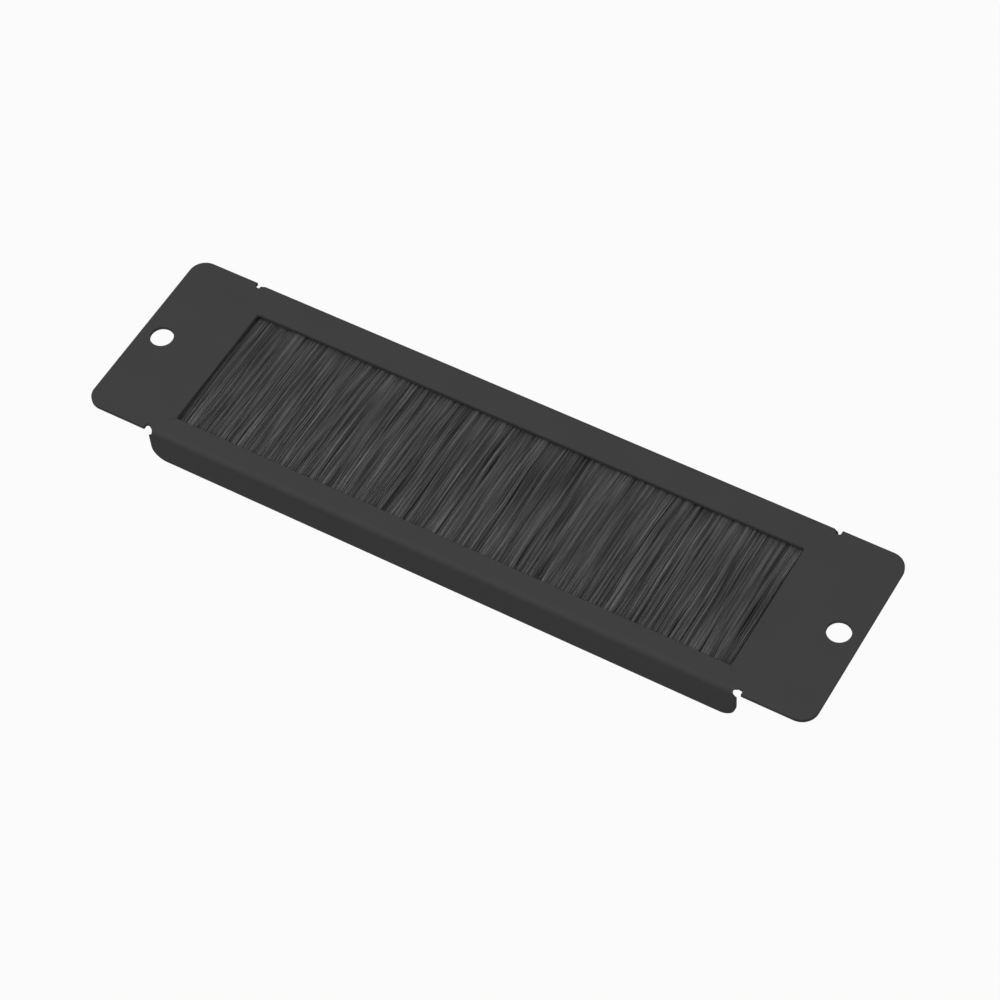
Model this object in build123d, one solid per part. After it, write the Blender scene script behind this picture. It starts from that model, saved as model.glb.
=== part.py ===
from build123d import *
import math
import os
import random

# Brush strip panel for a cable entry of an equipment cabinet: a folded steel plate with a
# long window. A strip brush is clamped under the window's back margin, and its filaments
# reach across to the front margin, so that cables pass while dust and air are kept back.
#
# Sizes are in millimetres. The origin is midway between the two ear holes, on the ears'
# underside, which bears on the cabinet. +X runs along the panel, +Y from the front flange to
# the back flange and +Z out of the panel's face.

# Plate: one blank, laser cut, folded twice and powder coated
sheet = 1.2  # thickness of the steel
window_length = 178.0
window_width = 43.1
window_corner = 0.6
side_margin = 5.1  # from the window to the end of a flange
back_margin = 10.6  # from the window to the back flange's outer face
front_margin = 7.5  # from the window to the front flange's outer face
relief_width = 1.5  # bend relief between a flange and an ear
relief_overrun = 0.1  # how far a relief runs past the bend
relief_corner = 0.6
relief_hole_radius = 1.2  # round hole that frees each end of a fold
relief_hole_shift = 0.4  # from the middle of the bend towards the flange
ear_length = 20.6  # from a relief to the end of the plate
ear_setback = 0.5  # from a flange's outer face in to an ear's edge
ear_corner = 5.0
hole_radius = 3.5  # clears an M6 screw
hole_edge = 6.7  # from the hole's centre to the end of the plate
bend_radius = 0.8  # inside of the fold
flange_depth = 12.5  # from the face to the flange's lower edge
flange_corner = 4.8
edge_break = 0.2  # coated edge round the face

# Strip brush: filaments folded over a core wire and crimped into a steel channel
channel_size = 4.8  # outer width and depth of the U section
channel_wall = 0.5
channel_corner = 1.4
channel_crimp = 0.35  # how far each lip is pressed in at the mouth
wire_radius = 0.5
brush_overlap = 2.5  # how far the brush runs past each end of the window
filament_reach = 2.6  # how far the tips run under the front margin
tip_scatter = 0.7  # unevenness of the tips
tuft_pitch = 4.5
tuft_gap = 0.15  # between neighbouring tufts at their roots
tuft_ridges = 3  # crests along the top of a tuft
tuft_flare = 0.8  # how much thicker each half is at its tips, at most
least_flare_share = 0.4  # the least of that, as a share of it
layer_gap = 0.1  # between the upper and the lower half of the folded filaments
fan_swing = 0.7  # how far bunches of tufts lean sideways at their tips
fan_wave = 47.0  # from one bunch to the next
valley_share = 0.1  # depth of a valley between two crests, as a share of a tuft's width
tip_width_share = 0.85  # width of a tuft's tip, as a share of the pitch
lean_share = 0.04  # uneven lean of a single tip, as a share of the pitch

# Keeper: steel angle riveted inside the back flange, which clamps the channel
keeper_sheet = 1.0
keeper_bend = 0.5  # inside of the fold
keeper_inset = 0.3  # from the flange's lower edge up to the keeper's

# Blind rivets through the back flange and the keeper
rivet_count = 4
rivet_radius = 1.2
rivet_wall = 0.5
rivet_head_overhang = 1.1  # beyond the shank
rivet_head_height = 0.8
rivet_head_rim = 0.2  # height of the head at its edge
rivet_bulb_swell = 0.55  # beyond the shank, where the bulb bears on the keeper
rivet_bulb_length = 2.4
stem_sink = 0.25  # from the top of the head down to the stem's broken end
stem_button_overhang = 0.45  # beyond the stem
stem_button_height = 1.1

# Fits
seat = 0.1  # between the brush channel and what it lies against
filament_fit = 0.05  # between the filaments and the channel or the wire
rivet_fit = 0.05  # radial, between a rivet and its holes
stem_fit = 0.02  # radial, between a rivet and its stem

# Worked out from the sizes above: the plate
overrun = sheet  # how far a cutter runs past what it cuts
bend_outside = bend_radius + sheet
flange_length = window_length + 2 * side_margin
plate_length = flange_length + 2 * (relief_width + ear_length)
plate_width = window_width + back_margin + front_margin
neck_width = plate_width - 2 * (bend_outside + relief_overrun)
ear_width = plate_width - 2 * ear_setback
back_face = plate_width / 2
flange_inside = back_face - sheet
flange_foot = sheet - flange_depth
window_centre = (front_margin - back_margin) / 2
window_front = front_margin - back_face
hole_place = plate_length / 2 - hole_edge

# The strip brush
brush_length = window_length + 2 * brush_overlap
channel_back = flange_inside - seat - max(0, bend_radius - channel_corner)
channel_mouth = channel_back - channel_size
channel_top = -seat
channel_bottom = channel_top - channel_size
channel_middle = (channel_top + channel_bottom) / 2
pocket_half = channel_size / 2 - channel_wall
pocket_corner = channel_corner - channel_wall
mouth_half = pocket_half - channel_crimp
wire_place = channel_back - channel_wall - pocket_half
tip_place = window_front - filament_reach

# The keeper and its rivets
keeper_top = channel_bottom - seat
keeper_foot = flange_foot + keeper_inset
keeper_outside = keeper_bend + keeper_sheet
rivet_grip = sheet + keeper_sheet
rivet_height = (keeper_top - keeper_outside + keeper_foot) / 2
rivet_pitch = brush_length / rivet_count
rivet_places = [(n - (rivet_count - 1) / 2) * rivet_pitch for n in range(rivet_count)]
bulb_radius = rivet_radius + rivet_bulb_swell
bulb_end = -rivet_grip - rivet_bulb_length
stem_radius = rivet_radius - rivet_wall
stem_bore = stem_radius + stem_fit
button_radius = stem_radius + stem_button_overhang


def along_x(section, length):
    """A section drawn in Y and Z, extruded over a length that is centred on the origin."""
    return extrude(Plane.YZ * section, amount=length / 2, both=True)


def hung_bar(width, depth, corner, top):
    """A rectangle in Y and Z that hangs from top, with its two upper corners rounded."""
    bar = Pos(0, top - depth / 2) * Rectangle(width, depth)
    return fillet(bar.vertices().group_by(Axis.Y)[-1], corner)


def folded_section():
    """The plate between its ears: the face, with a flange folded down at each side."""
    outside = hung_bar(plate_width, flange_depth, bend_outside, sheet)
    inside = hung_bar(plate_width - 2 * sheet, flange_depth, bend_radius, 0)
    return outside - inside


def blank_outline():
    """The flat part of the plate seen from above: two ears joined by a narrower middle."""
    outline = Rectangle(plate_length - 2 * ear_length + 2 * overrun, neck_width)
    for side in (-1, 1):
        ear_centre = side * (plate_length - ear_length) / 2
        outline += Pos(ear_centre, 0) * Rectangle(ear_length, ear_width)
    by_reach = outline.vertices().sort_by(lambda v: abs(v.X) + abs(v.Y))
    outline = fillet(by_reach[-4:], ear_corner)
    roots = [v for v in outline.vertices() if abs(abs(v.Y) - neck_width / 2) < overrun / 100]
    return fillet(roots, relief_corner)


def hole_cutters(radius, places, depth):
    """Upright cutters through the face at the given places along the mid line."""
    return [Pos(x, 0, sheet / 2) * Cylinder(radius, depth) for x in places]


def relief_cutters():
    """Round cutters through the four ends of the folds, square to the middle of the bend."""
    bar = Cylinder(relief_hole_radius, sheet + 4 * overrun)
    x, y, z = flange_length / 2, back_face - bend_outside, sheet - bend_outside
    middle = bend_radius + sheet / 2
    cutters = []
    for side in (-1, 1):
        raised = Rot(-45 * side, 0, 0) * Pos(0, side * relief_hole_shift, middle) * bar
        cutters += [Pos(-x, side * y, z) * raised, Pos(x, side * y, z) * raised]
    return cutters


def rivet_cutters(wall_middle, wall):
    """Cutters for the rivets through an upright wall."""
    bore = Rot(90, 0, 0) * Cylinder(rivet_radius + rivet_fit, wall + 2 * overrun)
    return [Pos(x, wall_middle, rivet_height) * bore for x in rivet_places]


def mounting_plate():
    """The folded plate, with its window, its ear holes and the holes for the rivets."""
    flanged = along_x(folded_section(), flange_length)
    flange_feet = flanged.edges().filter_by(Axis.Y).group_by(Axis.Z)[0]
    flanged = fillet(flange_feet, flange_corner)
    body = flanged + extrude(blank_outline(), amount=sheet)
    window = RectangleRounded(window_length, window_width, window_corner)
    body -= Pos(0, window_centre, -overrun) * extrude(window, amount=sheet + 2 * overrun)
    body -= hole_cutters(hole_radius, (-hole_place, hole_place), sheet + 2 * overrun)
    body -= rivet_cutters(back_face - sheet / 2, sheet)
    rim = body.faces().filter_by(Axis.Z).group_by(Axis.Z)[-1].edges()
    bend_lines = 2  # the two longest edges of the face, where it runs on into the folds
    body = chamfer(rim.sort_by(SortBy.LENGTH)[:-bend_lines], edge_break)
    return body - relief_cutters()


def u_section(back, mouth, half, half_at_mouth, corner):
    """A U's outline in Y and Z, filled: narrower at its mouth, with its back corners rounded."""
    knee = mouth + pocket_half
    outline = Polyline(
        (mouth, channel_middle + half_at_mouth),
        (knee, channel_middle + half),
        (back, channel_middle + half),
        (back, channel_middle - half),
        (knee, channel_middle - half),
        (mouth, channel_middle - half_at_mouth),
        close=True,
    )
    face = make_face(outline)
    return fillet(face.vertices().group_by(Axis.X)[-1], corner)


def pocket(fit):
    """The space inside the channel, less a fit all round."""
    back = channel_back - channel_wall - fit
    return u_section(back, channel_mouth, pocket_half - fit, mouth_half - fit, pocket_corner)


def brush_channel():
    """The steel U that is crimped round the filaments."""
    half = channel_size / 2
    outside = u_section(channel_back, channel_mouth, half, half - channel_crimp, channel_corner)
    return along_x(outside - pocket(0), brush_length)


def core_wire():
    """The wire that the filaments are folded over."""
    return along_x(Pos(wire_place, channel_middle) * Circle(wire_radius), brush_length)


def tuft_section(x, y, width, inner, outer):
    """A tuft cut across at one Y: flat inside, and ridged along its outer side."""
    valley = outer - math.copysign(width * valley_share, outer - inner)
    steps = 2 * tuft_ridges
    points = [(x + width / 2, y, inner), (x - width / 2, y, inner)]
    for step in range(steps + 1):
        place = x - width / 2 + width * step / steps
        points.append((place, y, outer if step % 2 else valley))
    return Face(Wire.make_polygon(points))


def tuft(x, pitch, upper, chance):
    """One tuft from the channel's mouth to its tips, in the upper or the lower half."""
    up = 1 if upper else -1
    inner = channel_middle + up * layer_gap / 2
    outer = channel_middle + up * (mouth_half - filament_fit)
    flare = up * tuft_flare * chance.uniform(least_flare_share, 1)
    turn = 2 * math.pi * x / fan_wave
    lean = fan_swing * (math.sin(turn) if upper else math.cos(turn))
    lean += lean_share * pitch * chance.uniform(-1, 1)
    tip_y = tip_place + tip_scatter * chance.uniform(-1, 1)
    root = tuft_section(x, channel_mouth, pitch - tuft_gap, inner, outer)
    tip = tuft_section(x + lean, tip_y, pitch * tip_width_share, inner, outer + flare)
    return loft([root, tip], ruled=True)


def brush_filaments():
    """The filaments: folded over the wire in the channel, and in tufts beyond its mouth."""
    wire_bore = Pos(wire_place, channel_middle) * Circle(wire_radius + filament_fit)
    root = along_x(pocket(filament_fit) - wire_bore, brush_length)
    count = round(brush_length / tuft_pitch)
    pitch = brush_length / count
    first = -(count - 1) / 2
    chance = random.Random(5)
    upper = [tuft((first + n) * pitch, pitch, True, chance) for n in range(count)]
    lower = [tuft((first + n + 1 / 2) * pitch, pitch, False, chance) for n in range(count - 1)]
    return root.fuse(*upper, *lower)


def keeper_angle():
    """Steel angle: one leg under the channel, the other down the inside of the back flange."""
    leg = flange_inside - channel_mouth
    height = keeper_top - keeper_foot
    block = Pos(flange_inside - leg / 2, keeper_top - height / 2) * Rectangle(leg, height)
    outside = fillet(block.vertices().sort_by(lambda v: v.X + v.Y)[-1], keeper_outside)
    space = Pos(-keeper_sheet, -keeper_sheet) * block
    space = fillet(space.vertices().sort_by(lambda v: v.X + v.Y)[-1], keeper_bend)
    angle = along_x(outside - space, brush_length)
    return angle - rivet_cutters(flange_inside - keeper_sheet / 2, keeper_sheet)


def turned(outline, x):
    """A rivet's piece, from its outline as radius and height above the flange's outer face."""
    return Pos(x, back_face, rivet_height) * revolve(make_face(outline), Axis.Y)


def rivet(x):
    """A set blind rivet: low domed head, shank, and the bulb drawn up against the keeper."""
    head_radius = rivet_radius + rivet_head_overhang
    outline = Polyline(
        (stem_bore, rivet_head_height),
        (rivet_radius, rivet_head_height),
        (head_radius, rivet_head_rim),
        (head_radius, 0),
        (rivet_radius, 0),
        (rivet_radius, -rivet_grip),
        (bulb_radius, -rivet_grip),
        (rivet_radius, bulb_end),
        (stem_bore, bulb_end),
        close=True,
    )
    return turned(outline, x)


def rivet_stem(x):
    """What is left of a rivet's stem: broken off in the head, its button against the bulb."""
    foot = bulb_end - stem_button_height
    top = rivet_head_height - stem_sink
    outline = Polyline(
        (0, foot),
        (stem_radius, foot),
        (button_radius, bulb_end),
        (stem_radius, bulb_end),
        (stem_radius, top),
        (0, top),
        close=True,
    )
    return turned(outline, x)


def build():
    """Every piece by its name."""
    pieces = {
        "mounting_plate": mounting_plate(),
        "brush_channel": brush_channel(),
        "core_wire": core_wire(),
        "brush_filaments": brush_filaments(),
        "keeper_angle": keeper_angle(),
    }
    for number, x in enumerate(rivet_places, 1):
        pieces[f"rivet_{number}"] = rivet(x)
        pieces[f"rivet_stem_{number}"] = rivet_stem(x)
    return pieces


os.makedirs("parts", exist_ok=True)
for name, shape in build().items():
    export_step(shape, f"parts/{name}.step")
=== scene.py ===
import math

import bmesh
import bpy
from mathutils import Matrix, Vector


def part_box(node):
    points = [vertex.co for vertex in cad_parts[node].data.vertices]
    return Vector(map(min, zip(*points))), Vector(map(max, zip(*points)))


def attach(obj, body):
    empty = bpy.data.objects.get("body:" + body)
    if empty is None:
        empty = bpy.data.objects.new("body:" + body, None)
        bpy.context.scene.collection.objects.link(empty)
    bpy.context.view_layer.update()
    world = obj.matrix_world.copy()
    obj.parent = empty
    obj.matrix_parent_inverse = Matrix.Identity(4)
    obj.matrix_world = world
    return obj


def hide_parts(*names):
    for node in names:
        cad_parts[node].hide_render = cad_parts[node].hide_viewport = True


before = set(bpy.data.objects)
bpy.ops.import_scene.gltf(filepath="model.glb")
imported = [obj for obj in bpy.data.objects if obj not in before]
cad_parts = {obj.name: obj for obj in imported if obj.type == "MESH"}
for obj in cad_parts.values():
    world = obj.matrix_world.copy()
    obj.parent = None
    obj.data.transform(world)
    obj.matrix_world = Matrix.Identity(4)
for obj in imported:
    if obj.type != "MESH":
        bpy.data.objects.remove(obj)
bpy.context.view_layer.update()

# Sizes in the dictionaries are millimetres unless a note says otherwise; mm turns them to metres.
mm = 0.001
plateLow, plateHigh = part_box("mounting_plate")
brushLow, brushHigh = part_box("brush_filaments")
channelLow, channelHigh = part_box("brush_channel")
wireLow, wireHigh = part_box("core_wire")
print("frame loaded")


# Helpers

def linear(hexColour):
    # an sRGB hex colour as the linear one that Blender takes
    values = [int(hexColour[place:place + 2], 16) / 255 for place in (1, 3, 5)]
    curved = [v / 12.92 if v <= 0.04045 else ((v + 0.055) / 1.055) ** 2.4 for v in values]
    return (*curved, 1)


def addNode(tree, kind, settings={}):
    # a key is a property or an input's name or number, and a socket as its value becomes a link
    node = tree.nodes.new(kind)
    for key, value in settings.items():
        if isinstance(key, str) and hasattr(node, key):
            setattr(node, key, value)
        elif isinstance(value, bpy.types.NodeSocket):
            tree.links.new(value, node.inputs[key])
        else:
            node.inputs[key].default_value = value
    return node


def newMaterial(name, build):
    material = bpy.data.materials.new(name)
    material.use_nodes = True
    tree = material.node_tree
    tree.nodes.clear()
    surface = build(tree, addNode(tree, "ShaderNodeTexCoord").outputs["Object"])
    addNode(tree, "ShaderNodeOutputMaterial", {"Surface": surface})
    return material


def dress(thing, material):
    thing.data.materials.clear()
    thing.data.materials.append(material)


def linkMesh(name, mesh):
    thing = bpy.data.objects.new(name, mesh)
    bpy.context.scene.collection.objects.link(thing)
    return thing


def settled(name, holder):
    # what the holder's modifiers make, as a plain mesh on an object of its own
    bpy.context.view_layer.update()
    ready = holder.evaluated_get(bpy.context.evaluated_depsgraph_get())
    mesh = bpy.data.meshes.new_from_object(ready)
    bpy.data.objects.remove(holder)
    mesh.name = name
    return linkMesh(name, mesh)


def grow(name, tree, values):
    # runs a Geometry Nodes tree once
    holder = linkMesh(name + "Source", bpy.data.meshes.new(name + "Source"))
    modifier = holder.modifiers.new("grow", "NODES")
    modifier.node_group = tree
    for item in tree.interface.items_tree:
        if item.in_out == "INPUT":
            modifier[item.identifier] = values[item.name]
    return settled(name, holder)


def newTree(name, sockets):
    # a Geometry Nodes tree with its named inputs
    tree = bpy.data.node_groups.new(name, "GeometryNodeTree")
    for label, kind in sockets.items():
        tree.interface.new_socket(label, in_out="INPUT", socket_type="NodeSocket" + kind)
    tree.interface.new_socket("Geometry", in_out="OUTPUT", socket_type="NodeSocketGeometry")
    return tree, addNode(tree, "NodeGroupInput").outputs


def softenBelow(form, angle):
    # smooth shading, except where two faces meet at more than the angle
    for face in form.faces:
        face.smooth = True
    for edge in form.edges:
        edge.smooth = edge.is_manifold and edge.calc_face_angle() < math.radians(angle)


def standFor(piece, nodes):
    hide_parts(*nodes)
    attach(piece, "root")


# Camera: fitted to the photograph from the plate's edges, window and holes

cameraView = {
    "azimuth": 34.546,  # degrees
    "elevation": 53.761,
    "roll": -5.395,
    "target": (7.212, -4.926, 1.2),
    "distance": 889.5,
    "focalPixels": 3205.2,
    "imagePixels": 1000,
    "sensor": 36,  # as Blender counts it
    "clipStart": 10,
}


def addCamera():
    azimuth, elevation, roll = (math.radians(cameraView[key]) for key in ("azimuth", "elevation", "roll"))
    flat = math.cos(elevation)
    back = Vector((math.sin(azimuth) * flat, -math.cos(azimuth) * flat, math.sin(elevation)))
    level = Vector((0, 0, 1)).cross(back).normalized()
    upright = back.cross(level)
    right = level * math.cos(roll) + upright * math.sin(roll)
    up = upright * math.cos(roll) - level * math.sin(roll)
    turn = Matrix((right, up, back)).transposed().to_4x4()
    place = (Vector(cameraView["target"]) + back * cameraView["distance"]) * mm
    camera = bpy.data.objects.new("camera", bpy.data.cameras.new("camera"))
    camera.matrix_world = Matrix.Translation(place) @ turn
    camera.data.sensor_width = cameraView["sensor"]
    camera.data.lens = cameraView["sensor"] * cameraView["focalPixels"] / cameraView["imagePixels"]
    camera.data.clip_start = cameraView["clipStart"] * mm
    bpy.context.scene.collection.objects.link(camera)
    bpy.context.scene.camera = camera
    bpy.context.scene.view_settings.view_transform = "Standard"


addCamera()
print("camera set")


# Studio: a pale floor under soft lights. The camera sees it as white, and the object's shadow on it.

studio = {
    "floorSize": 6000,
    "floorGap": 0.05,  # below the flanges' edges, so that no two faces share a plane
    "floorColour": "#747474",
    "paperWhite": 0.96,  # how much of the floor that the camera sees is plain white
    "worldColour": "#ffffff",
    "worldStrength": 0.374,
    "lamps": (  # name, place, size, watts
        ("keyLight", (-240, -440, 970), 900, 8.9),
        ("sideLight", (900, -100, 700), 900, 3.2),
    ),
}


def seenRay(tree):
    # 1 for a ray from the camera, or one that metal reflects or glass lets through
    rays = addNode(tree, "ShaderNodeLightPath")
    value = rays.outputs["Is Camera Ray"]
    for other in ("Is Glossy Ray", "Is Transmission Ray"):
        either = addNode(tree, "ShaderNodeMath", {"operation": "MAXIMUM", 0: value, 1: rays.outputs[other]})
        value = either.outputs[0]
    return value


def floorLook(tree, coords):
    plain = addNode(tree, "ShaderNodeBsdfDiffuse", {"Color": linear(studio["floorColour"])})
    white = addNode(tree, "ShaderNodeEmission", {"Color": linear("#ffffff"), "Strength": 1.0})
    share = addNode(tree, "ShaderNodeMath", {"operation": "MULTIPLY", 0: seenRay(tree),
                                             1: studio["paperWhite"]})
    paper = addNode(tree, "ShaderNodeMixShader", {0: share.outputs[0], 1: plain.outputs[0],
                                                  2: white.outputs[0]})
    return paper.outputs[0]


def addStudio():
    half = studio["floorSize"] * mm / 2
    level = plateLow.z - studio["floorGap"] * mm
    corners = [(-half, -half, level), (half, -half, level), (half, half, level), (-half, half, level)]
    mesh = bpy.data.meshes.new("floor")
    mesh.from_pydata(corners, [], [(0, 1, 2, 3)])
    floor = linkMesh("floor", mesh)
    dress(floor, newMaterial("paperFloor", floorLook))

    world = bpy.data.worlds.new("studioSky")
    bpy.context.scene.world = world
    world.use_nodes = True
    tree = world.node_tree
    tree.nodes.clear()
    colour = linear(studio["worldColour"])
    sky = addNode(tree, "ShaderNodeBackground", {"Color": colour, "Strength": studio["worldStrength"]})
    white = addNode(tree, "ShaderNodeBackground", {"Color": colour, "Strength": 1})
    both = addNode(tree, "ShaderNodeMixShader", {0: seenRay(tree), 1: sky.outputs[0], 2: white.outputs[0]})
    addNode(tree, "ShaderNodeOutputWorld", {"Surface": both.outputs[0]})

    for name, place, size, watts in studio["lamps"]:
        lamp = bpy.data.lights.new(name, "AREA")
        lamp.shape = "DISK"
        lamp.size = size * mm
        lamp.energy = watts
        holder = bpy.data.objects.new(name, lamp)
        holder.location = Vector(place) * mm
        holder.rotation_euler = Vector(place).to_track_quat("Z", "Y").to_euler()
        bpy.context.scene.collection.objects.link(holder)


addStudio()
print("studio lit")


# Materials

# Powder-coated steel: polyester powder baked on, matt, with a faint orange peel.
powderCoat = {
    "colour": "#353535",
    "lighter": "#393939",
    "cloud": 18.0,  # width of a patch of the lighter colour
    "peel": 0.55,
    "peelHeight": 0.010,
    "smoothest": 0.68,  # roughness, from hollow to bump
    "roughest": 0.80,
    "ior": 1.5,
    "specular": 0.12,
}


def powderCoatLook(tree, coords):
    cloud = addNode(tree, "ShaderNodeTexNoise", {"Vector": coords, "Scale": 1 / (powderCoat["cloud"] * mm),
                                                 "Detail": 2.0})
    colour = addNode(tree, "ShaderNodeMix", {"data_type": "RGBA", 0: cloud.outputs["Fac"],
                                             6: linear(powderCoat["colour"]),
                                             7: linear(powderCoat["lighter"])})
    peel = addNode(tree, "ShaderNodeTexNoise", {"Vector": coords, "Scale": 1 / (powderCoat["peel"] * mm),
                                                "Detail": 2.0, "Roughness": 0.5})
    gloss = addNode(tree, "ShaderNodeMapRange", {0: peel.outputs["Fac"], 3: powderCoat["smoothest"],
                                                 4: powderCoat["roughest"]})
    bump = addNode(tree, "ShaderNodeBump", {"Height": peel.outputs["Fac"], "Strength": 1.0,
                                            "Distance": powderCoat["peelHeight"] * mm})
    coat = addNode(tree, "ShaderNodeBsdfPrincipled", {
        "Base Color": colour.outputs[2], "Roughness": gloss.outputs[0], "Normal": bump.outputs[0],
        "IOR": powderCoat["ior"], "Specular IOR Level": powderCoat["specular"]})
    return coat.outputs[0]


# Galvanised strip: zinc spangle a few millimetres across, dull grey with a metal's sheen.
zincStrip = {"dark": "#85888a", "light": "#b4b7b9", "spangle": 3.5, "smoothest": 0.34, "roughest": 0.52}


def zincStripLook(tree, coords):
    cells = addNode(tree, "ShaderNodeTexVoronoi", {"Vector": coords,
                                                   "Scale": 1 / (zincStrip["spangle"] * mm)})
    tone = addNode(tree, "ShaderNodeSeparateColor", {0: cells.outputs["Color"]})
    colour = addNode(tree, "ShaderNodeMix", {"data_type": "RGBA", 0: tone.outputs[0],
                                             6: linear(zincStrip["dark"]), 7: linear(zincStrip["light"])})
    gloss = addNode(tree, "ShaderNodeMapRange", {0: tone.outputs[1], 3: zincStrip["smoothest"],
                                                 4: zincStrip["roughest"]})
    coat = addNode(tree, "ShaderNodeBsdfPrincipled", {"Base Color": colour.outputs[2], "Metallic": 1.0,
                                                      "Roughness": gloss.outputs[0]})
    return coat.outputs[0]


# Drawn steel wire: fine lengthwise die marks, left uncoated.
drawnSteel = {
    "colour": "#8a8b8c",
    "marks": 0.15,  # width of a mark
    "slender": 0.02,  # its width as a share of its length
    "smoothest": 0.25,
    "roughest": 0.45,
}


def drawnSteelLook(tree, coords):
    stretched = addNode(tree, "ShaderNodeMapping", {"Vector": coords,
                                                     "Scale": (drawnSteel["slender"], 1.0, 1.0)})
    marks = addNode(tree, "ShaderNodeTexNoise", {"Vector": stretched.outputs[0],
                                                 "Scale": 1 / (drawnSteel["marks"] * mm)})
    gloss = addNode(tree, "ShaderNodeMapRange", {0: marks.outputs["Fac"], 3: drawnSteel["smoothest"],
                                                 4: drawnSteel["roughest"]})
    metal = addNode(tree, "ShaderNodeBsdfPrincipled", {"Base Color": linear(drawnSteel["colour"]),
                                                       "Metallic": 1.0, "Roughness": gloss.outputs[0]})
    return metal.outputs[0]


# Aluminium rivet: cold headed and tumbled, so a soft satin with small dull patches.
rivetAluminium = {"colour": "#c9cacb", "patch": 0.8, "smoothest": 0.28, "roughest": 0.5}


def rivetAluminiumLook(tree, coords):
    patches = addNode(tree, "ShaderNodeTexNoise", {"Vector": coords,
                                                   "Scale": 1 / (rivetAluminium["patch"] * mm)})
    gloss = addNode(tree, "ShaderNodeMapRange", {0: patches.outputs["Fac"], 3: rivetAluminium["smoothest"],
                                                 4: rivetAluminium["roughest"]})
    metal = addNode(tree, "ShaderNodeBsdfPrincipled", {"Base Color": linear(rivetAluminium["colour"]),
                                                       "Metallic": 1.0, "Roughness": gloss.outputs[0]})
    return metal.outputs[0]


# Nylon filament: extruded, black all through, smooth enough to catch a thin line of light.
# Filaments that lie together share painted sheen and shade: light and dark streaks in the colour stand in for
# light on bunches of filaments and shade between them, and follow each one's place in the brush.
nylonFilament = {
    # the nylon's black, and the grey of the painted sheen
    "dark": "#101010",
    "light": "#707070",
    "across": 0.85,  # width of a streak of filaments
    "along": 28.0,  # and its length
    "stagger": 1.7,  # how much later a streak starts, for each millimetre that it lies to the side
    "sidesApart": 4.0,  # in the noise, so that the filaments above and below differ in painted sheen and shade
    "darkest": 0.26,  # noise values that give the two colours
    "lightest": 0.75,
    "ownSheen": 0.2,  # share of the painted sheen and shade that is a single filament's own
    "roughness": 0.42,
    "ior": 1.53,
    "specular": 0.2,
}


def nylonFilamentLook(tree, coords):
    own = addNode(tree, "ShaderNodeAttribute", {"attribute_name": "filamentShade"})
    flow = addNode(tree, "ShaderNodeAttribute", {"attribute_name": "filamentFlow"})
    stretched = addNode(tree, "ShaderNodeMapping", {
        "Vector": flow.outputs["Vector"],
        "Scale": (1 / (nylonFilament["across"] * mm), 1 / (nylonFilament["along"] * mm), 1)})
    streak = addNode(tree, "ShaderNodeTexNoise", {"Vector": stretched.outputs[0], "Scale": 1.0,
                                                  "Detail": 1.0, "Roughness": 0.4})
    tone = addNode(tree, "ShaderNodeMapRange", {0: streak.outputs["Fac"], 1: nylonFilament["darkest"],
                                                 2: nylonFilament["lightest"]})
    # painted sheen and shade, mixed from the streaks and each filament's own draw
    mixed = addNode(tree, "ShaderNodeMix", {"data_type": "FLOAT", 0: nylonFilament["ownSheen"],
                                            2: tone.outputs[0], 3: own.outputs["Fac"]})
    colour = addNode(tree, "ShaderNodeMix", {"data_type": "RGBA", 0: mixed.outputs[0],
                                             6: linear(nylonFilament["dark"]),
                                             7: linear(nylonFilament["light"])})
    nylon = addNode(tree, "ShaderNodeBsdfPrincipled", {
        "Base Color": colour.outputs[2], "Roughness": nylonFilament["roughness"],
        "IOR": nylonFilament["ior"], "Specular IOR Level": nylonFilament["specular"]})
    return nylon.outputs[0]


powderCoatedSteel = newMaterial("powderCoatedSteel", powderCoatLook)
galvanisedStrip = newMaterial("galvanisedStrip", zincStripLook)
drawnSteelWire = newMaterial("drawnSteelWire", drawnSteelLook)
headedAluminium = newMaterial("headedAluminium", rivetAluminiumLook)
blackNylon = newMaterial("blackNylon", nylonFilamentLook)
finishes = {
    "mounting_plate": powderCoatedSteel,
    "brush_channel": galvanisedStrip,
    "keeper_angle": galvanisedStrip,
    "core_wire": drawnSteelWire,
    "brush_filaments": blackNylon,
}
for name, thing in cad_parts.items():
    dress(thing, finishes.get(name, drawnSteelWire if "stem" in name else headedAluminium))
print("materials made")


# Folded and drawn steel: a merged copy of each node, shaded as smooth sheet metal

steelFinish = {
    "mergeWithin": 0.001,
    "roundBelow": 50,  # degrees, so that the coated edge is shaded as a round
    "flatShare": 100,  # the most, so that the flat faces beside it are shaded flat
}


def finishSteel(name, node, finish):
    form = bmesh.new()
    form.from_mesh(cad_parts[node].data)
    bmesh.ops.remove_doubles(form, verts=form.verts, dist=steelFinish["mergeWithin"] * mm)
    softenBelow(form, steelFinish["roundBelow"])
    mesh = bpy.data.meshes.new(name + "Source")
    form.to_mesh(mesh)
    form.free()
    holder = linkMesh(name + "Source", mesh)
    weigh = holder.modifiers.new("weigh", "WEIGHTED_NORMAL")
    weigh.keep_sharp = True
    weigh.weight = steelFinish["flatShare"]
    piece = settled(name, holder)
    dress(piece, finish)
    standFor(piece, [node])


finishSteel("plate", "mounting_plate", powderCoatedSteel)
finishSteel("channel", "brush_channel", galvanisedStrip)
finishSteel("keeper", "keeper_angle", galvanisedStrip)
finishSteel("wire", "core_wire", drawnSteelWire)
print("steel finished")


# Blind rivets along the back flange, each set over its broken stem

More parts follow.
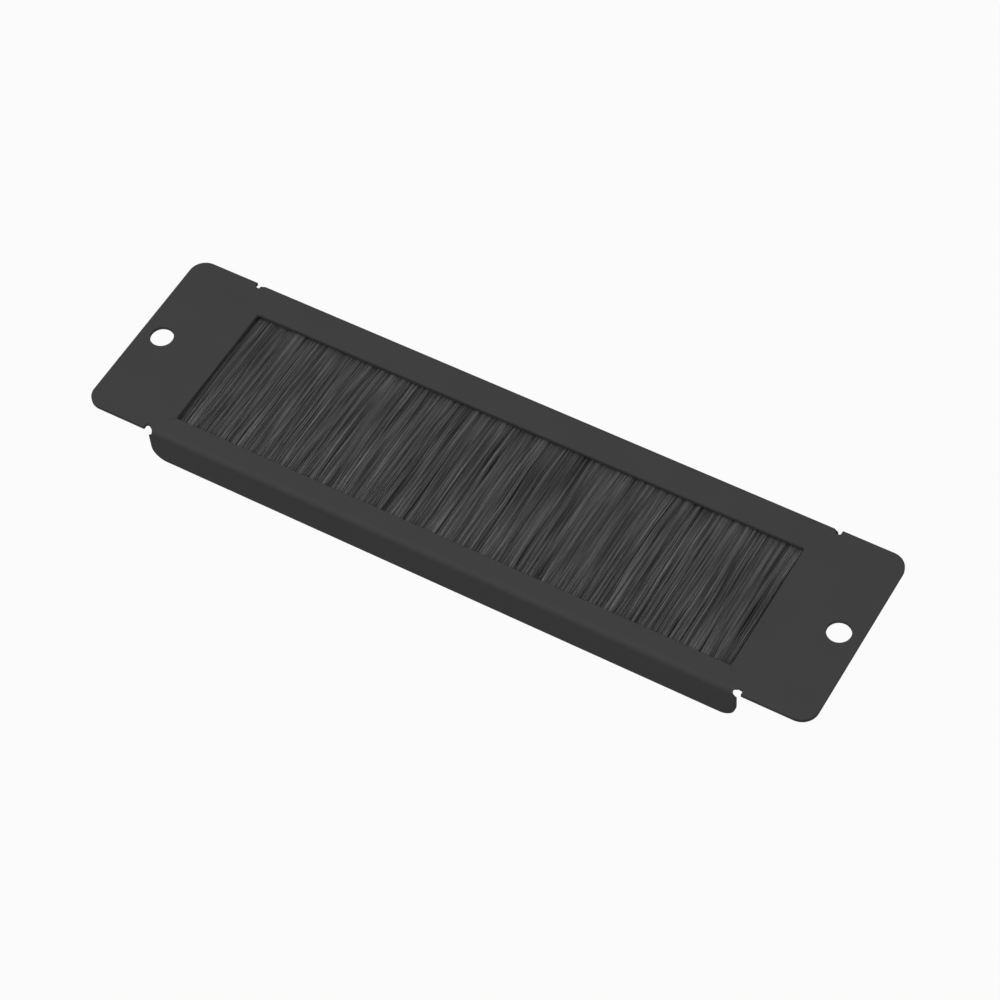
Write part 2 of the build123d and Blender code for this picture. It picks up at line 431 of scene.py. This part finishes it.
rivets = {
    "steps": 36,  # round the axis
    "roundBelow": 32,  # degrees
    # radius and height above the flange's outer face: head, shank through both sheets, bulb
    "body": ((0.74, 0.6), (0.86, 0.78), (1.1, 0.8), (1.45, 0.73), (1.8, 0.58), (2.08, 0.4), (2.25, 0.22),
             (2.3, 0.1), (2.27, 0.0), (1.2, 0.0), (1.2, -2.2), (1.45, -2.22), (1.68, -2.42), (1.75, -2.75),
             (1.74, -3.2), (1.66, -3.65), (1.5, -4.1), (1.3, -4.45), (1.12, -4.58), (0.74, -4.6)),
    # the stem from its torn end to the button that was pulled into the bulb
    "stem": ((0.0, 0.42), (0.3, 0.5), (0.46, 0.36), (0.6, 0.5), (0.68, 0.4), (0.69, 0.2), (0.69, -4.6),
             (1.12, -4.62), (1.15, -4.75), (1.08, -5.15), (0.92, -5.5), (0.7, -5.66), (0.4, -5.7),
             (0.0, -5.7)),
}


def turnedForm(name, outline, closed):
    # an outline of radius and height turned about a line along Y
    steps = rivets["steps"]
    form = bmesh.new()
    rings = []
    for radius, height in outline:
        turns = [2 * math.pi * step / steps for step in range(steps if radius else 1)]
        rings.append([form.verts.new((radius * mm * math.cos(t), height * mm, radius * mm * math.sin(t)))
                      for t in turns])
    followers = rings[1:] + (rings[:1] if closed else [])
    for ring, follower in zip(rings, followers):
        for step in range(steps):
            corners = [ring[step % len(ring)], ring[(step + 1) % steps % len(ring)],
                       follower[(step + 1) % steps % len(follower)], follower[step % len(follower)]]
            form.faces.new(list(dict.fromkeys(corners)))
    bmesh.ops.recalc_face_normals(form, faces=form.faces)
    softenBelow(form, rivets["roundBelow"])
    mesh = bpy.data.meshes.new(name)
    form.to_mesh(mesh)
    form.free()
    return linkMesh(name, mesh)


def rowTree(name, material):
    tree, given = newTree(name, {"Template": "Object", "Count": "Int", "First Place": "Vector",
                                 "Pitch": "Float"})
    step = addNode(tree, "ShaderNodeCombineXYZ", {0: given["Pitch"]})
    line = addNode(tree, "GeometryNodeMeshLine", {"Count": given["Count"], "Offset": step.outputs[0],
                                                  "Start Location": given["First Place"]})
    form = addNode(tree, "GeometryNodeObjectInfo", {"Object": given["Template"]})
    copies = addNode(tree, "GeometryNodeInstanceOnPoints", {"Points": line.outputs[0],
                                                            "Instance": form.outputs["Geometry"]})
    whole = addNode(tree, "GeometryNodeRealizeInstances", {0: copies.outputs[0]})
    finished = addNode(tree, "GeometryNodeSetMaterial", {"Geometry": whole.outputs[0], "Material": material})
    addNode(tree, "NodeGroupOutput", {0: finished.outputs[0]})
    return tree


def addRivets():
    names = sorted(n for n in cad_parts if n.startswith("rivet_") and "stem" not in n)
    stems = [n.replace("rivet_", "rivet_stem_") for n in names]
    boxes = [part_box(n) for n in names]
    middles = sorted((low.x + high.x) / 2 for low, high in boxes)
    low, high = boxes[0]
    first = Vector((middles[0], plateHigh.y, (low.z + high.z) / 2))
    row = {"Count": len(names), "First Place": first, "Pitch": middles[1] - middles[0]}
    for name, outline, nodes, slot, finish in (
        ("rivets", "body", names, "rivet_aluminium", headedAluminium),
        ("rivetStems", "stem", stems, "drawn_wire", drawnSteelWire),
    ):
        template = turnedForm(name + "Template", rivets[outline], outline == "body")
        piece = grow(name, rowTree(name + "Row", finish), {**row, "Template": template})
        bpy.data.objects.remove(template)
        standFor(piece, nodes)


addRivets()
print("rivets set")


# Strip brush: every filament is a hairpin folded over the core wire, with its two ends free

brush = {
    "spans": 4,  # pieces side by side, each under 200,000 triangles
    "filaments": 2150,  # hairpins in each span
    "seedStep": 40,  # from one span's random draws to the next one's
    "diameter": 0.16,
    "sides": 3,
    "channelWall": 0.5,
    "turnRoom": 1.5,  # filament radii kept from the wire and from the channel's wall
    "endRoom": 0.1,  # kept at the two ends of the brush
    "windowBack": 20.0,  # Y of the window's long edges
    "windowFront": -23.1,
    "edgeStep": 0.01,  # a point this near an edge, as a share of its distance, counts as under the margin
    "windowEnd": 89.0,  # X of its short edges
    "endSag": 0.6,  # how far the filaments beside a short edge hang lower, with no neighbours there
    "endSagLength": 6.0,
    "tipScatter": 0.9,
    "flare": 0.8,  # how far the outer filaments spread, once past the crimped mouth
    "flareLength": 10.0,
    "bow": 0.3,  # how far they arch midway
    "underPlate": 0.12,  # room where filaments pass under the plate's margins
    "proud": 0.3,  # the most that one stands above the plate's underside in the window
    "bunchSwing": 0.9,  # sideways lean at the tips that a bunch of this width shares
    "bunchWidth": 14.0,
    "strandSwing": 0.42,  # and a strand within it
    "strandWidth": 2.6,
    "tuftWidth": 4.3,  # filaments of a tuft close up towards their tips, and leave a gap
    "tuftGap": 0.42,
    "tuftWander": 9.0,  # tufts grow wider and narrower over this length
    "strayLean": 0.35,  # a single filament's own lean
    "stray": 0.22,  # and its own sway midway
    "waveAcross": 1.5,  # slow waves that lift or shift a few filaments together
    "waveAlong": 20.0,
    "waveLift": 0.45,
    "waveShift": 0.4,
    "waveHeld": 0.2,  # share of the free length over which they set in
    "waveSidesApart": 7.3,  # in the noise, so that the waves above and below differ
}
# where a filament bends, as shares of its free length, besides the points at the window's edges
bendShares = (0.046, 0.35, 0.6, 0.8, 1.0)
# shares of a filament's distance from the wire: its height past the mouth, then the place and height
# of the two corners of its turn behind the wire
mouthHeight = 0.7
hookShare = (0.75, 0.66)


def hairpinTemplate(edgeShares):
    upper = sorted(bendShares + edgeShares, reverse=True)
    lower = sorted(bendShares)
    back, corner = hookShare
    line = [(share, mouthHeight) for share in upper] + [(0, 1), (-back, corner), (-back, -corner), (0, -1)]
    line += [(share, -mouthHeight) for share in lower]
    curve = bpy.data.curves.new("hairpin", "CURVE")
    curve.dimensions = "3D"
    spline = curve.splines.new("POLY")
    spline.points.add(len(line) - 1)
    for point, (forward, height) in zip(spline.points, line):
        point.co = (0, -forward, height, 1)
    return linkMesh("hairpin", curve)


def brushTree(material):
    tree, given = newTree("stripBrush", {
        "Template": "Object", "Filaments": "Int", "Low X": "Float", "Span": "Float", "Wire Y": "Float",
        "Middle Z": "Float", "Free Length": "Float", "Back Share": "Float", "Front Share": "Float",
        "Inner Turn": "Float", "Outer Turn": "Float", "Radius": "Float", "Seed": "Int"})

    def maths(operation, first, second=0.0, third=0.0):
        values = {"operation": operation, 0: first, 1: second, 2: third}
        return addNode(tree, "ShaderNodeMath", values).outputs[0]

    def centred(noise):
        # noise mostly lies between 0.25 and 0.75, and this makes that -1 to 1
        return maths("MULTIPLY_ADD", noise.outputs[0], 4.0, -2.0)

    def perFilament(low, high, draw):
        # one random value for each filament, and draw tells the values apart
        seed = maths("ADD", given["Seed"], draw)
        value = addNode(tree, "FunctionNodeRandomValue", {"data_type": "FLOAT", 2: low, 3: high,
                                                          "Seed": seed})
        whole = addNode(tree, "GeometryNodeFieldOnDomain", {"domain": "CURVE", 0: value.outputs[1]})
        return whole.outputs[0]

    def wander(width, draw):
        # about -1 to 1, alike for neighbours and different above and below; draw is a place in the noise
        spot = maths("MULTIPLY_ADD", startX, 1 / (width * mm), maths("MULTIPLY", side, draw))
        return centred(addNode(tree, "ShaderNodeTexNoise", {"noise_dimensions": "1D", "W": spot,
                                                            "Detail": 1.0, "Scale": 1.0}))

    def wave(draw):
        # the same in long narrow patches, growing from nothing at the wire
        patch = addNode(tree, "ShaderNodeCombineXYZ", {
            0: maths("DIVIDE", startX, brush["waveAcross"] * mm),
            1: maths("DIVIDE", maths("MULTIPLY", forward, given["Free Length"]), brush["waveAlong"] * mm),
            2: maths("MULTIPLY_ADD", side, brush["waveSidesApart"], draw)})
        noise = addNode(tree, "ShaderNodeTexNoise", {"Vector": patch.outputs[0], "Scale": 1.0, "Detail": 1.0})
        held = maths("MINIMUM", maths("MULTIPLY", forward, 1 / brush["waveHeld"]), 1.0)
        return maths("MULTIPLY", centred(noise), held)

    points = addNode(tree, "GeometryNodePoints", {"Count": given["Filaments"]})
    pin = addNode(tree, "GeometryNodeObjectInfo", {"Object": given["Template"]})
    copies = addNode(tree, "GeometryNodeInstanceOnPoints", {"Points": points.outputs[0],
                                                            "Instance": pin.outputs["Geometry"]})
    curves = addNode(tree, "GeometryNodeRealizeInstances", {0: copies.outputs[0]})

    # the template's own places: forward is a share of the free length, behind and height of the turn
    place = addNode(tree, "ShaderNodeSeparateXYZ", {0: addNode(tree, "GeometryNodeInputPosition").outputs[0]})
    forward = maths("MAXIMUM", maths("MULTIPLY", place.outputs[1], -1.0), 0.0)
    behind = maths("MAXIMUM", place.outputs[1], 0.0)
    height = place.outputs[2]
    side = maths("SIGN", height)  # 1 for the leg above, -1 for the one below

    number = addNode(tree, "GeometryNodeInputIndex").outputs[0]
    onCurve = addNode(tree, "GeometryNodeFieldOnDomain", {"domain": "CURVE", "data_type": "INT", 0: number})
    along = maths("DIVIDE", maths("ADD", onCurve.outputs[0], perFilament(0.0, 1.0, 1)), given["Filaments"])
    startX = maths("MULTIPLY_ADD", along, given["Span"], given["Low X"])
    layer = perFilament(0.0, 1.0, 2)  # 0 against the wire, 1 outermost
    turn = maths("MULTIPLY_ADD", layer, maths("SUBTRACT", given["Outer Turn"], given["Inner Turn"]),
                 given["Inner Turn"])

    stray = maths("MULTIPLY", perFilament(-1.0, 1.0, 3), brush["strayLean"] * mm)
    bunch = maths("MULTIPLY", wander(brush["bunchWidth"], 37.0), brush["bunchSwing"] * mm)
    strand = maths("MULTIPLY", wander(brush["strandWidth"], 61.0), brush["strandSwing"] * mm)
    edges = maths("MULTIPLY_ADD", startX, 1 / (brush["tuftWidth"] * mm), wander(brush["tuftWander"], 83.0))
    closing = maths("MULTIPLY", maths("SUBTRACT", maths("FRACT", edges), 0.5), -brush["tuftGap"] * mm)
    lean = maths("ADD", maths("ADD", bunch, strand), maths("ADD", stray, closing))
    arch = maths("SINE", maths("MULTIPLY", forward, math.pi))
    sway = maths("MULTIPLY", maths("MULTIPLY", perFilament(-1.0, 1.0, 4), arch), brush["stray"] * mm)
    shift = maths("MULTIPLY_ADD", wave(31.0), brush["waveShift"] * mm, sway)
    newX = maths("ADD", maths("MULTIPLY_ADD", lean, forward, startX), shift)

    tip = maths("MULTIPLY", perFilament(-1.0, 0.0, 5), brush["tipScatter"] * mm)
    reach = maths("MULTIPLY", forward, maths("ADD", given["Free Length"], tip))
    newY = maths("ADD", maths("SUBTRACT", given["Wire Y"], reach), maths("MULTIPLY", behind, turn))

    # spread past the mouth, an arch midway, the waves and the sag at the window's short edges
    past = maths("DIVIDE", maths("MULTIPLY", forward, given["Free Length"]), brush["flareLength"] * mm)
    spread = maths("SUBTRACT", 1.0, maths("EXPONENT", maths("MULTIPLY", maths("MULTIPLY", past, past), -1.0)))
    rise = maths("MULTIPLY_ADD", spread, brush["flare"] * mm, maths("MULTIPLY", arch, brush["bow"] * mm))
    lift = maths("MULTIPLY_ADD", wave(0.0), brush["waveLift"] * mm, maths("MULTIPLY", rise, side))
    fromEnd = maths("SUBTRACT", brush["windowEnd"] * mm, maths("ABSOLUTE", startX))
    hanging = maths("EXPONENT", maths("MINIMUM", maths("DIVIDE", fromEnd, -brush["endSagLength"] * mm), 0.0))
    sag = maths("MULTIPLY", maths("MULTIPLY", hanging, spread), -brush["endSag"] * mm)
    free = maths("MULTIPLY_ADD", lift, layer, maths("MULTIPLY_ADD", height, turn, given["Middle Z"]))
    freeZ = maths("ADD", free, sag)

    # the plate holds them down under its margins, and in the window they stand a little proud at most
    pastBack = maths("GREATER_THAN", forward, maths("MULTIPLY", given["Back Share"], 1 + brush["edgeStep"]))
    beforeFront = maths("LESS_THAN", forward, maths("MULTIPLY", given["Front Share"], 1 - brush["edgeStep"]))
    inWindow = maths("MULTIPLY", pastBack, beforeFront)
    margin = brush["underPlate"] + brush["diameter"] / 2
    cap = maths("MULTIPLY_ADD", inWindow, (brush["proud"] + margin) * mm, -margin * mm)
    newZ = maths("MINIMUM", freeZ, cap)

    # for the material's painted sheen and shade: a draw for each filament, and a place along its streak
    # stored while the positions are still the template's, from which every field above is worked out
    shade = addNode(tree, "GeometryNodeStoreNamedAttribute", {
        "data_type": "FLOAT", "domain": "POINT", "Geometry": curves.outputs[0], "Name": "filamentShade",
        "Value": perFilament(0.0, 1.0, 7)})
    flowX = maths("SUBTRACT", newX, maths("MULTIPLY", bunch, forward))
    flowY = maths("MULTIPLY_ADD", flowX, nylonFilament["stagger"], reach)
    flowZ = maths("MULTIPLY", side, nylonFilament["sidesApart"])
    flowPlace = addNode(tree, "ShaderNodeCombineXYZ", {0: flowX, 1: flowY, 2: flowZ})
    flow = addNode(tree, "GeometryNodeStoreNamedAttribute", {
        "data_type": "FLOAT_VECTOR", "domain": "POINT", "Geometry": shade.outputs[0], "Name": "filamentFlow",
        "Value": flowPlace.outputs[0]})
    newPlace = addNode(tree, "ShaderNodeCombineXYZ", {0: newX, 1: newY, 2: newZ})
    bent = addNode(tree, "GeometryNodeSetPosition", {"Geometry": flow.outputs[0],
                                                     "Position": newPlace.outputs[0]})
    section = addNode(tree, "GeometryNodeCurvePrimitiveCircle", {"Resolution": brush["sides"],
                                                                 "Radius": given["Radius"]})
    tubes = addNode(tree, "GeometryNodeCurveToMesh", {"Curve": bent.outputs[0],
                                                      "Profile Curve": section.outputs[0], "Fill Caps": True})
    smooth = addNode(tree, "GeometryNodeSetShadeSmooth", {"Geometry": tubes.outputs[0], "Shade Smooth": True})
    whole = addNode(tree, "GeometryNodeRealizeInstances", {0: smooth.outputs[0]})
    finished = addNode(tree, "GeometryNodeSetMaterial", {"Geometry": whole.outputs[0], "Material": material})
    addNode(tree, "NodeGroupOutput", {0: finished.outputs[0]})
    return tree


def addBrush():
    tree = brushTree(blackNylon)
    wireRadius = (wireHigh.z - wireLow.z) / 2
    filamentRadius = brush["diameter"] * mm / 2
    pocketHalf = (channelHigh.z - channelLow.z) / 2 - brush["channelWall"] * mm
    wireY = (wireLow.y + wireHigh.y) / 2
    freeLength = wireY - brushLow.y  # the tips reach as far as the solid curtain's do
    backShare = (wireY - brush["windowBack"] * mm) / freeLength
    frontShare = (wireY - brush["windowFront"] * mm) / freeLength
    template = hairpinTemplate((backShare, frontShare))
    sizes = {
        "Template": template, "Filaments": brush["filaments"], "Wire Y": wireY,
        "Middle Z": (wireLow.z + wireHigh.z) / 2, "Free Length": freeLength,
        "Back Share": backShare, "Front Share": frontShare,
        "Inner Turn": wireRadius + brush["turnRoom"] * filamentRadius,
        "Outer Turn": pocketHalf - brush["turnRoom"] * filamentRadius,
        "Radius": filamentRadius,
    }
    room = filamentRadius + brush["endRoom"] * mm
    span = (brushHigh.x - brushLow.x - 2 * room) / brush["spans"]
    for number in range(brush["spans"]):
        part = {"Low X": brushLow.x + room + number * span, "Span": span, "Seed": brush["seedStep"] * number}
        piece = grow(f"filaments_{number + 1}", tree, {**sizes, **part})
        print(piece.name, sum(len(f.vertices) - 2 for f in piece.data.polygons), "triangles")
        standFor(piece, ["brush_filaments"])
    bpy.data.objects.remove(template)


addBrush()
print("brush grown")
